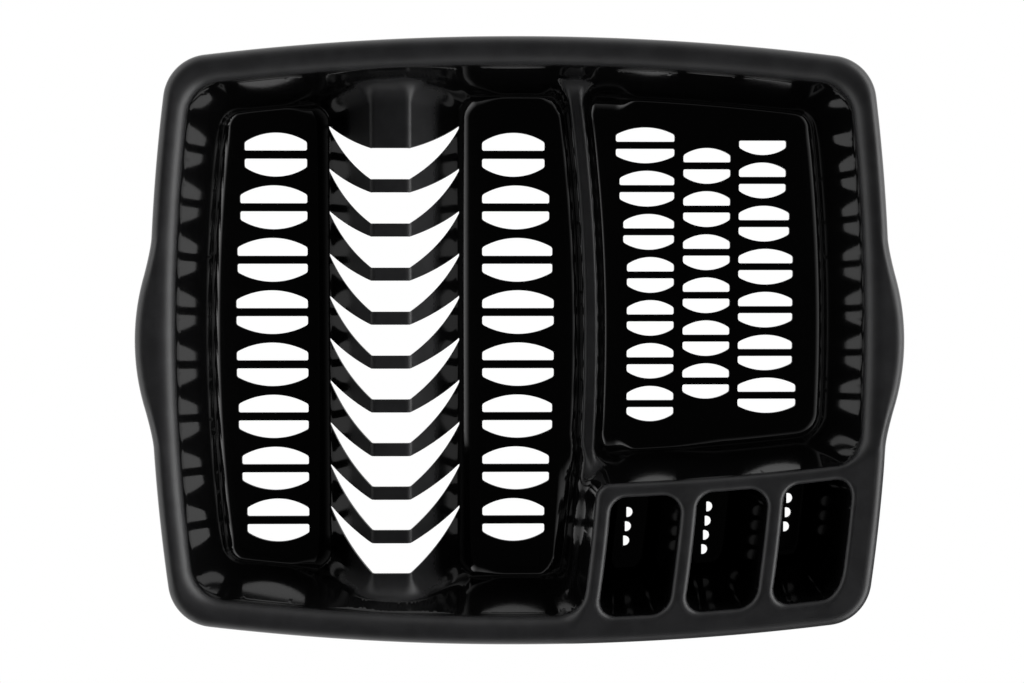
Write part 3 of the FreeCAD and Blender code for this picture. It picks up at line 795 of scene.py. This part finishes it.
# Pieces
def zone_of(x, y):
    """The piece that each plan point belongs to, as a number in PIECES."""
    tub = barrel(x, y, FLOOR_HALF_X, FLOOR_HALF_Y, TUB_CORNER_R)
    zone = np.full(len(x), PIECE_NUMBER["plate_floor_left"])

    def put(name, mask):
        zone[mask] = PIECE_NUMBER[name]

    put("plate_floor_right", x > HUMP_X)
    right_of_divider = side_line(x, y, DIVIDER_ZONE_RIGHT, 1)[0] > 0
    put("divider", (side_line(x, y, DIVIDER_ZONE_LEFT, 1)[0] > 0) & ~right_of_divider)
    put("side_floor", right_of_divider)
    strip = np.abs(x - HUMP_X) < TIP_HALF
    put("hump_back_end", strip)
    for i in range(1, OPENING_COUNT):
        tip = FIRST_TIP_Y - (i - 1) * RIB_PITCH
        # The rib's plan lies between two openings, and its middle is half a crescent ahead of the tips.
        drop = opening_drop(np.abs(x - HUMP_X))
        put(f"plate_rib_{i}", strip & (y < tip - drop))
    drop = opening_drop(np.abs(x - HUMP_X))
    put("hump_front_end", strip & (y < FIRST_TIP_Y - (OPENING_COUNT - 1) * RIB_PITCH - drop))
    steep = y / x * (FLOOR_HALF_X / FLOOR_HALF_Y)
    sides = {
        "back": (y > 0) & (np.abs(steep) > 1),
        "front": (y < 0) & (np.abs(steep) > 1),
        "left": (x < 0) & (np.abs(steep) <= 1),
        "right": (x > 0) & (np.abs(steep) <= 1),
    }
    for name, mask in sides.items():
        put("wall_" + name, mask & (tub > 0))
    put("cutlery_block", (block_field(x, y) < BLOCK_BORDER) & (tub < RIM_BORDER))
    for index, name in enumerate(CUP_NAMES):
        wall = tub - (HEIGHT - FLOOR_TOP) * TUB_DRAFT
        put("cup_" + name, np.maximum(cup_side_field(index, x, y), wall) < -CUP_BORDER)
    for name, mask in sides.items():
        put("rim_" + name, mask & (tub > RIM_BORDER))
    grip = (np.abs(y) < GRIP_HALF_LENGTH) & (tub > RIM_BORDER)
    put("grip_left", grip & (x < 0))
    put("grip_right", grip & (x > 0))
    return zone


def opening_drop(across):
    """How far ahead of its tips the middle of a crescent lies, at this distance from the hump's middle."""
    reach = np.clip((TIP_HALF - across) / (TIP_HALF - HUMP_TOP_HALF), 0, 1)
    middle = (CRESCENT_BACK_DROP + CRESCENT_FRONT_DROP) / 2
    flank = (CRESCENT_BACK_FLANK_DROP + CRESCENT_FRONT_FLANK_DROP) / 2
    flank_reach = (TIP_HALF - CRESCENT_FLANK) / (TIP_HALF - HUMP_TOP_HALF)
    bend = (flank - middle * flank_reach) / (flank_reach * (1 - flank_reach))
    return TIP_WIDTH / 2 * (1 - reach) + middle * reach + bend * reach * (1 - reach)


def border_edges(piece_triangles):
    """The piece's border edges, each with the piece on its left."""
    edges = np.concatenate([piece_triangles[:, pair] for pair in ([0, 1], [1, 2], [2, 0])])
    key = edges.min(1).astype(np.int64) * 10**7 + edges.max(1)
    _, first, count = np.unique(key, return_index=True, return_counts=True)
    return edges[first[count == 1]]


def lip_profile():
    """The rim's outer edge as (distance in from the edge, height, outward part, upward part)."""
    rows = []
    top = math.acos((RIM_OUTER_R - LIP) / RIM_OUTER_R)
    for angle in np.linspace(top, 0, LIP_STEPS + 1)[1:]:
        across, up = math.cos(angle), math.sin(angle)
        rows.append((RIM_OUTER_R * (1 - across), HEIGHT - RIM_OUTER_R * (1 - up), across, up))
    outer_x, inner_x, low = SKIRT_EDGE_R, WALL - SKIRT_EDGE_R, RIM_BOTTOM + SKIRT_EDGE_R
    for angle in np.linspace(0, -math.pi / 2, SKIRT_STEPS + 1):
        across, up = math.cos(angle), math.sin(angle)
        rows.append((outer_x - SKIRT_EDGE_R * across, low + SKIRT_EDGE_R * up, across, up))
    for angle in np.linspace(-math.pi / 2, -math.pi, SKIRT_STEPS + 1):
        across, up = math.cos(angle), math.sin(angle)
        rows.append((inner_x - SKIRT_EDGE_R * across, low + SKIRT_EDGE_R * up, across, up))
    inner_r = RIM_OUTER_R - WALL
    bottom = math.acos((RIM_OUTER_R - LIP) / inner_r)
    for angle in np.linspace(0, bottom, INNER_LIP_STEPS + 1)[:-1]:
        across, up = math.cos(angle), math.sin(angle)
        height = HEIGHT - RIM_OUTER_R + inner_r * up
        rows.append((RIM_OUTER_R - inner_r * across, height, -across, -up))
    return rows


def rim_direction(x, y):
    h = EDGE_SLOPE_STEP
    direction = np.stack(
        [rim_field(x + h, y) - rim_field(x - h, y), rim_field(x, y + h) - rim_field(x, y - h)], 1
    )
    return direction / np.linalg.norm(direction, axis=1)[:, None]


def side_faces(flat_used, sides, count):
    """Upright faces from the top to the underside along a piece's border edges."""
    run = flat_used[sides[:, 1]] - flat_used[sides[:, 0]]
    away = np.stack([run[:, 1], -run[:, 0], np.zeros(len(run))], 1)
    away /= np.linalg.norm(away, axis=1)[:, None]
    starts = {a: i for i, a in enumerate(sides[:, 0])}
    ends = {b: i for i, b in enumerate(sides[:, 1])}
    faces, normals = [], []
    for i, (a, b) in enumerate(sides):
        before, after = away[ends.get(a, i)], away[starts.get(b, i)]
        normal_a = away[i] + before if away[i] @ before > SMOOTH_SIDE else away[i]
        normal_b = away[i] + after if away[i] @ after > SMOOTH_SIDE else away[i]
        normal_a = normal_a / np.linalg.norm(normal_a)
        normal_b = normal_b / np.linalg.norm(normal_b)
        faces.append((a, a + count, b + count, b))
        normals += [normal_a, normal_a, normal_b, normal_b]
    return faces, normals


def lip_faces(flat_used, lip, count, top_normals, bottom_normals):
    """The rim's rounded edge and skirt, swept along the piece's rim edges."""
    ring = np.unique(lip)
    place = {v: i for i, v in enumerate(ring)}
    spots = flat_used[ring]
    direction = rim_direction(spots[:, 0], spots[:, 1])
    points, rows = [], [(lambda v: v, top_normals)]
    total = 2 * count
    for inward, height, across, up in lip_profile():
        moved = spots + direction * (LIP - inward)
        points.append(np.column_stack([moved, np.full(len(ring), height)]))
        normal = np.column_stack([direction * across, np.full(len(ring), up)])
        spread = np.zeros((count, 3))
        spread[ring] = normal
        rows.append((lambda v, first=total: first + place[v], spread))
        total += len(ring)
    rows.append((lambda v: v + count, -bottom_normals))
    faces, normals = [], []
    for a, b in lip:
        for (number, above), (next_number, below) in zip(rows, rows[1:]):
            faces.append((number(a), next_number(a), next_number(b), number(b)))
            normals += [above[a], below[a], below[b], above[b]]
    for v in ring:
        starts, ends = (lip[:, 0] == v).sum(), (lip[:, 1] == v).sum()
        if starts + ends == 1:
            outline = [number(v) for number, _ in rows]
            faces.append(tuple(outline[::-1] if starts else outline))
            normals += [np.zeros(3)] * len(outline)
    return np.concatenate(points), faces, normals


def closed_piece(name, mine, shell):
    """One closed mesh: top, underside, and its sides at openings, borders and the rim's edge."""
    flat, top, bottom, top_normals, bottom_normals = shell
    used, local = np.unique(mine, return_inverse=True)
    local = local.reshape(-1, 3)
    count = len(used)
    flat_used, top_normals, bottom_normals = flat[used], top_normals[used], bottom_normals[used]
    points = [np.column_stack([flat_used, top[used]]), np.column_stack([flat_used, bottom[used]])]
    under = local[:, ::-1] + count
    faces = local.tolist() + under.tolist()
    normals = [top_normals[local].reshape(-1, 3), -bottom_normals[under - count].reshape(-1, 3)]
    borders = border_edges(local)
    rim = rim_field(flat_used[:, 0], flat_used[:, 1])
    on_rim = (rim[borders[:, 0]] > -LIP - 0.05) & (rim[borders[:, 1]] > -LIP - 0.05)
    if (~on_rim).any():
        more, their_normals = side_faces(flat_used, borders[~on_rim], count)
        faces += more
        normals.append(their_normals)
    if on_rim.any():
        extra, more, their_normals = lip_faces(
            flat_used, borders[on_rim], count, top_normals, bottom_normals
        )
        points.append(extra)
        faces += more
        normals.append(their_normals)
    mesh = bpy.data.meshes.new(name)
    mesh.from_pydata((np.concatenate(points) * MM).tolist(), [], faces)
    mesh.polygons.foreach_set("use_smooth", [True] * len(mesh.polygons))
    mesh.normals_split_custom_set(np.concatenate(normals).tolist())
    mesh.update()
    piece = bpy.data.objects.new(name, mesh)
    bpy.context.scene.collection.objects.link(piece)
    return piece


def foot_piece(name, node):
    """A turned foot pad with a rounded sole, spread a little where it meets the floor's underside."""
    low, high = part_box(node)
    centre, height = (low + high) / 2, high.z - low.z
    radius = (high.x - low.x) / 2
    sole = radius * FOOT_SOLE
    turn = FOOT_EDGE_R * MM
    profile = [(0.0, 0.0)]
    for angle in np.linspace(-math.pi / 2, 0, SOLE_STEPS + 1):
        profile.append((sole - turn + turn * math.cos(angle), turn + turn * math.sin(angle)))
    profile += [(radius * across, height * up) for across, up in FOOT_NECK]
    profile.append((0.0, height))
    mesh = bpy.data.meshes.new(name)
    points, faces = [], []
    for r, z in profile[1:-1]:
        for k in range(FOOT_SIDES):
            angle = 2 * math.pi * k / FOOT_SIDES
            points.append((centre.x + r * math.cos(angle), centre.y + r * math.sin(angle), low.z + z))
    bands = len(profile) - 2
    for band in range(bands - 1):
        for k in range(FOOT_SIDES):
            a, b = band * FOOT_SIDES + k, band * FOOT_SIDES + (k + 1) % FOOT_SIDES
            faces.append((a, b, b + FOOT_SIDES, a + FOOT_SIDES))
    faces.append(tuple(range(FOOT_SIDES))[::-1])
    faces.append(tuple(range((bands - 1) * FOOT_SIDES, bands * FOOT_SIDES)))
    mesh.from_pydata(points, [], faces)
    mesh.polygons.foreach_set("use_smooth", [len(f) == 4 for f in faces])
    mesh.update()
    piece = bpy.data.objects.new(name, mesh)
    bpy.context.scene.collection.objects.link(piece)
    return piece


# Materials and studio
def ramp(tree, value, low, high, to_low, to_high):
    """The value carried smoothly from one range to another."""
    made = tree.nodes.new("ShaderNodeMapRange")
    made.interpolation_type = "SMOOTHSTEP"
    tree.links.new(value, made.inputs["Value"])
    made.inputs["From Min"].default_value = low
    made.inputs["From Max"].default_value = high
    made.inputs["To Min"].default_value = to_low
    made.inputs["To Max"].default_value = to_high
    return made.outputs["Result"]


def combined(tree, operation, *values):
    """A maths operation on sockets and plain numbers."""
    made = tree.nodes.new("ShaderNodeMath")
    made.operation = operation
    for socket, value in zip(made.inputs, values):
        if isinstance(value, float):
            socket.default_value = value
        else:
            tree.links.new(value, socket)
    return made.outputs["Value"]


def direction_parts(tree, output):
    """The X, Y and Z of a texture coordinate."""
    place = tree.nodes.new("ShaderNodeTexCoord")
    parts = tree.nodes.new("ShaderNodeSeparateXYZ")
    tree.links.new(place.outputs[output], parts.inputs["Vector"])
    return parts.outputs["X"], parts.outputs["Y"], parts.outputs["Z"]


def black_plastic():
    """Glossy black polypropylene, semi-gloss on its raised upward faces, where painted light also makes
    the base colour lighter.
    """
    material = bpy.data.materials.new("black_polypropylene")
    material.use_nodes = True
    tree = material.node_tree
    shader = tree.nodes["Principled BSDF"]
    shader.inputs["IOR"].default_value = INDEX_OF_REFRACTION
    shader.inputs["Metallic"].default_value = 0.0

    def node(kind):
        return tree.nodes.new(kind)

    def link(source, target):
        tree.links.new(source, target)

    def noise(scale, detail, roughness=0.5):
        made = node("ShaderNodeTexNoise")
        made.inputs["Scale"].default_value = scale
        made.inputs["Detail"].default_value = detail
        made.inputs["Roughness"].default_value = roughness
        link(coordinates.outputs["Object"], made.inputs["Vector"])
        return made.outputs["Fac"]

    coordinates = node("ShaderNodeTexCoord")
    place = node("ShaderNodeSeparateXYZ")
    link(coordinates.outputs["Object"], place.inputs["Vector"])
    geometry = node("ShaderNodeNewGeometry")
    facing = node("ShaderNodeSeparateXYZ")
    link(geometry.outputs["Normal"], facing.inputs["Vector"])

    raised = ramp(tree, place.outputs["Z"], *RAISED, 0.0, 1.0)
    upward = ramp(tree, facing.outputs["Z"], *UPWARD, 0.0, 1.0)
    # This mask sets the real satin roughness and texture, and also paints light into the base colour of
    # the tops
    satin_and_painted_light = combined(tree, "MULTIPLY", raised, upward)
    cloudy = ramp(tree, noise(CLOUD_SCALE, 3.0), *NOISE_SPREAD, -CLOUD_DEPTH, CLOUD_DEPTH)
    grain = ramp(tree, noise(GRAIN_SCALE, 2.0), *NOISE_SPREAD, -GRAIN_DEPTH, GRAIN_DEPTH)
    uneven = combined(tree, "ADD", cloudy, grain)
    even = ramp(tree, satin_and_painted_light, 0.0, 1.0, GLOSS_ROUGHNESS, SATIN_ROUGHNESS)
    link(combined(tree, "ADD", even, uneven), shader.inputs["Roughness"])

    mottle = noise(MOTTLE_SCALE, 5.0, 0.6)
    mottled = ramp(tree, mottle, *MOTTLE_SPREAD, 1 - MOTTLE_DEPTH, 1 + MOTTLE_DEPTH)
    # Painted light: raised upward faces get a lighter base colour than the rest of the plastic
    tone_with_painted_light = ramp(tree, satin_and_painted_light, 0.0, 1.0, GLOSS_SHADE, SATIN_PAINTED_LIGHT_TONE)
    shade = combined(tree, "MULTIPLY", tone_with_painted_light, mottled)
    colour = node("ShaderNodeCombineColor")
    link(shade, colour.inputs["Red"])
    link(shade, colour.inputs["Green"])
    link(combined(tree, "MULTIPLY", shade, BLUE_SHIFT), colour.inputs["Blue"])
    link(colour.outputs["Color"], shader.inputs["Base Color"])

    ripple = node("ShaderNodeBump")
    ripple.inputs["Strength"].default_value = RIPPLE_STRENGTH
    ripple.inputs["Distance"].default_value = RIPPLE_DEPTH
    link(noise(RIPPLE_SCALE, 2.0), ripple.inputs["Height"])
    texture = node("ShaderNodeBump")
    link(satin_and_painted_light, texture.inputs["Strength"])
    texture.inputs["Distance"].default_value = TEXTURE_DEPTH
    link(noise(TEXTURE_SCALE, 2.0), texture.inputs["Height"])
    link(ripple.outputs["Normal"], texture.inputs["Normal"])
    link(texture.outputs["Normal"], shader.inputs["Normal"])
    return material


def seen_and_reflected(tree, seen, reflected):
    """One white emission: its strength to the eye, and its strength in reflections and as light."""
    emission = tree.nodes.new("ShaderNodeEmission")
    rays = tree.nodes.new("ShaderNodeLightPath")
    eye = rays.outputs["Is Camera Ray"]
    hidden = combined(tree, "SUBTRACT", 1.0, eye)
    strength = combined(tree, "MULTIPLY_ADD", hidden, reflected, combined(tree, "MULTIPLY", eye, seen))
    tree.links.new(strength, emission.inputs["Strength"])
    return emission


def pale_floor():
    mesh = bpy.data.meshes.new("studio_floor")
    half = FLOOR_SIZE / 2
    corners = [(-half, -half, 0), (half, -half, 0), (half, half, 0), (-half, half, 0)]
    mesh.from_pydata(corners, [], [(0, 1, 2, 3)])
    floor = bpy.data.objects.new("studio_floor", mesh)
    bpy.context.scene.collection.objects.link(floor)
    material = bpy.data.materials.new("pale_floor")
    material.use_nodes = True
    tree = material.node_tree
    tree.nodes.remove(tree.nodes["Principled BSDF"])
    x, y, _ = direction_parts(tree, "Object")
    across = combined(tree, "POWER", combined(tree, "DIVIDE", x, GRIP_REACH * MM), SHADE_POWER)
    along = combined(tree, "POWER", combined(tree, "DIVIDE", y, RIM_HALF_Y * MM), SHADE_POWER)
    glow = ramp(tree, combined(tree, "ADD", across, along), *SHADE_EDGE, SHADED_GLOW, FLOOR_GLOW)
    left, right = (DIVIDER_LEFT_BASE - CUP_SHADE_SIDE) * MM, DIVIDER_LEFT_BASE * MM
    front, back = (BLOCK_BACK - CUP_SHADE_EDGE) * MM, (BLOCK_BACK + CUP_SHADE_EDGE) * MM
    beside = ramp(tree, x, left, right, 0.0, 1.0)
    ahead = ramp(tree, y, front, back, 1.0, 0.0)
    hidden = combined(tree, "MULTIPLY", combined(tree, "MULTIPLY", beside, ahead), 1 - CUP_SHADE)
    glow = combined(tree, "MULTIPLY", glow, combined(tree, "SUBTRACT", 1.0, hidden))
    emission = seen_and_reflected(tree, 1.0, glow)
    tree.links.new(emission.outputs["Emission"], tree.nodes["Material Output"].inputs["Surface"])
    mesh.materials.append(material)


def studio_world():
    """Dark overhead with a glowing horizon, brightest on the right, where the key light stands."""
    world = bpy.data.worlds.new("studio")
    bpy.context.scene.world = world
    world.use_nodes = True
    tree = world.node_tree
    tree.nodes.remove(tree.nodes["Background"])
    x, _, z = direction_parts(tree, "Generated")
    left = ramp(tree, x, -SIDE_END, -SIDE_START, LEFT_GLOW, ROUND_GLOW)
    around = combined(tree, "MULTIPLY", ramp(tree, z, *ROUND_FADE, 1.0, 0.0), left)
    right = ramp(tree, x, SIDE_START, SIDE_END, 0.0, KEY_GLOW)
    key = combined(tree, "MULTIPLY", ramp(tree, z, *KEY_FADE, 1.0, 0.0), right)
    glow = combined(tree, "ADD", combined(tree, "ADD", around, key), OVERHEAD_GLOW)
    emission = seen_and_reflected(tree, 1.0, glow)
    tree.links.new(emission.outputs["Emission"], tree.nodes["World Output"].inputs["Surface"])


def camera_overhead():
    data = bpy.data.cameras.new("camera")
    data.sensor_width = SENSOR_WIDTH
    data.lens = LENS
    camera = bpy.data.objects.new("camera", data)
    bpy.context.scene.collection.objects.link(camera)
    position = Vector(CAMERA_PLACE) * MM
    target = Vector(CAMERA_TARGET) * MM
    forward = (target - position).normalized()
    right = forward.cross(Vector((0, 1, 0))).normalized()
    up = right.cross(forward)
    axes = Matrix((right, up, -forward)).transposed()
    camera.matrix_world = Matrix.Translation(position) @ axes.to_4x4()
    bpy.context.scene.camera = camera


PLATE_RIBS = [f"plate_rib_{i}" for i in range(1, OPENING_COUNT)]
PIECES = {
    "rim_back": ["rim_back"],
    "rim_front": ["rim_front"],
    "rim_left": ["rim_left_back", "rim_left_front"],
    "rim_right": ["rim_right_back", "rim_right_front"],
    "grip_left": ["grip_left"],
    "grip_right": ["grip_right"],
    "wall_back": ["wall_back"],
    "wall_front": ["wall_front"],
    "wall_left": ["wall_left"],
    "wall_right": ["wall_right"],
    "plate_floor_left": [f"plate_floor_left_{third}" for third in ("back", "middle", "front")],
    "plate_floor_right": [f"plate_floor_right_{third}" for third in ("back", "middle", "front")],
    "side_floor": [f"side_floor_{column}" for column in ("left", "middle", "right")],
    "hump_back_end": ["hump_back_end"],
    "hump_front_end": ["hump_front_end"],
    "divider": ["divider"],
    "cutlery_block": ["cutlery_deck", "cutlery_surround"],
    "cup_left": ["cup_left"],
    "cup_middle": ["cup_middle"],
    "cup_right": ["cup_right"],
}
PIECES.update({name: [name] for name in PLATE_RIBS})
PIECE_NUMBER = {name: number for number, name in enumerate(PIECES)}
FEET = ("foot_back_left", "foot_back_right", "foot_front_left", "foot_front_right")


def add_piece(piece, nodes, material):
    piece.data.materials.append(material)
    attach(piece, "root")
    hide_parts(*nodes)


def build_rack():
    material = black_plastic()
    flat, triangles = triangulate()
    plan = plan_at(flat[:, 0], flat[:, 1])
    top, bottom = lift(plan, 0.0), lift(plan, -WALL)
    top_normals = normals_at(flat[:, 0], flat[:, 1], top)
    bottom_normals = normals_at(flat[:, 0], flat[:, 1], bottom)
    shell = (flat, top, bottom, top_normals, bottom_normals)
    centres = flat[triangles].mean(1)
    zones = zone_of(centres[:, 0], centres[:, 1])
    for name, nodes in PIECES.items():
        piece = closed_piece(name + "_shell", triangles[zones == PIECE_NUMBER[name]], shell)
        add_piece(piece, nodes, material)
    for name in FEET:
        add_piece(foot_piece(name + "_pad", name), [name], material)


build_rack()
pale_floor()
studio_world()
camera_overhead()
bpy.context.scene.view_settings.view_transform = "Standard"
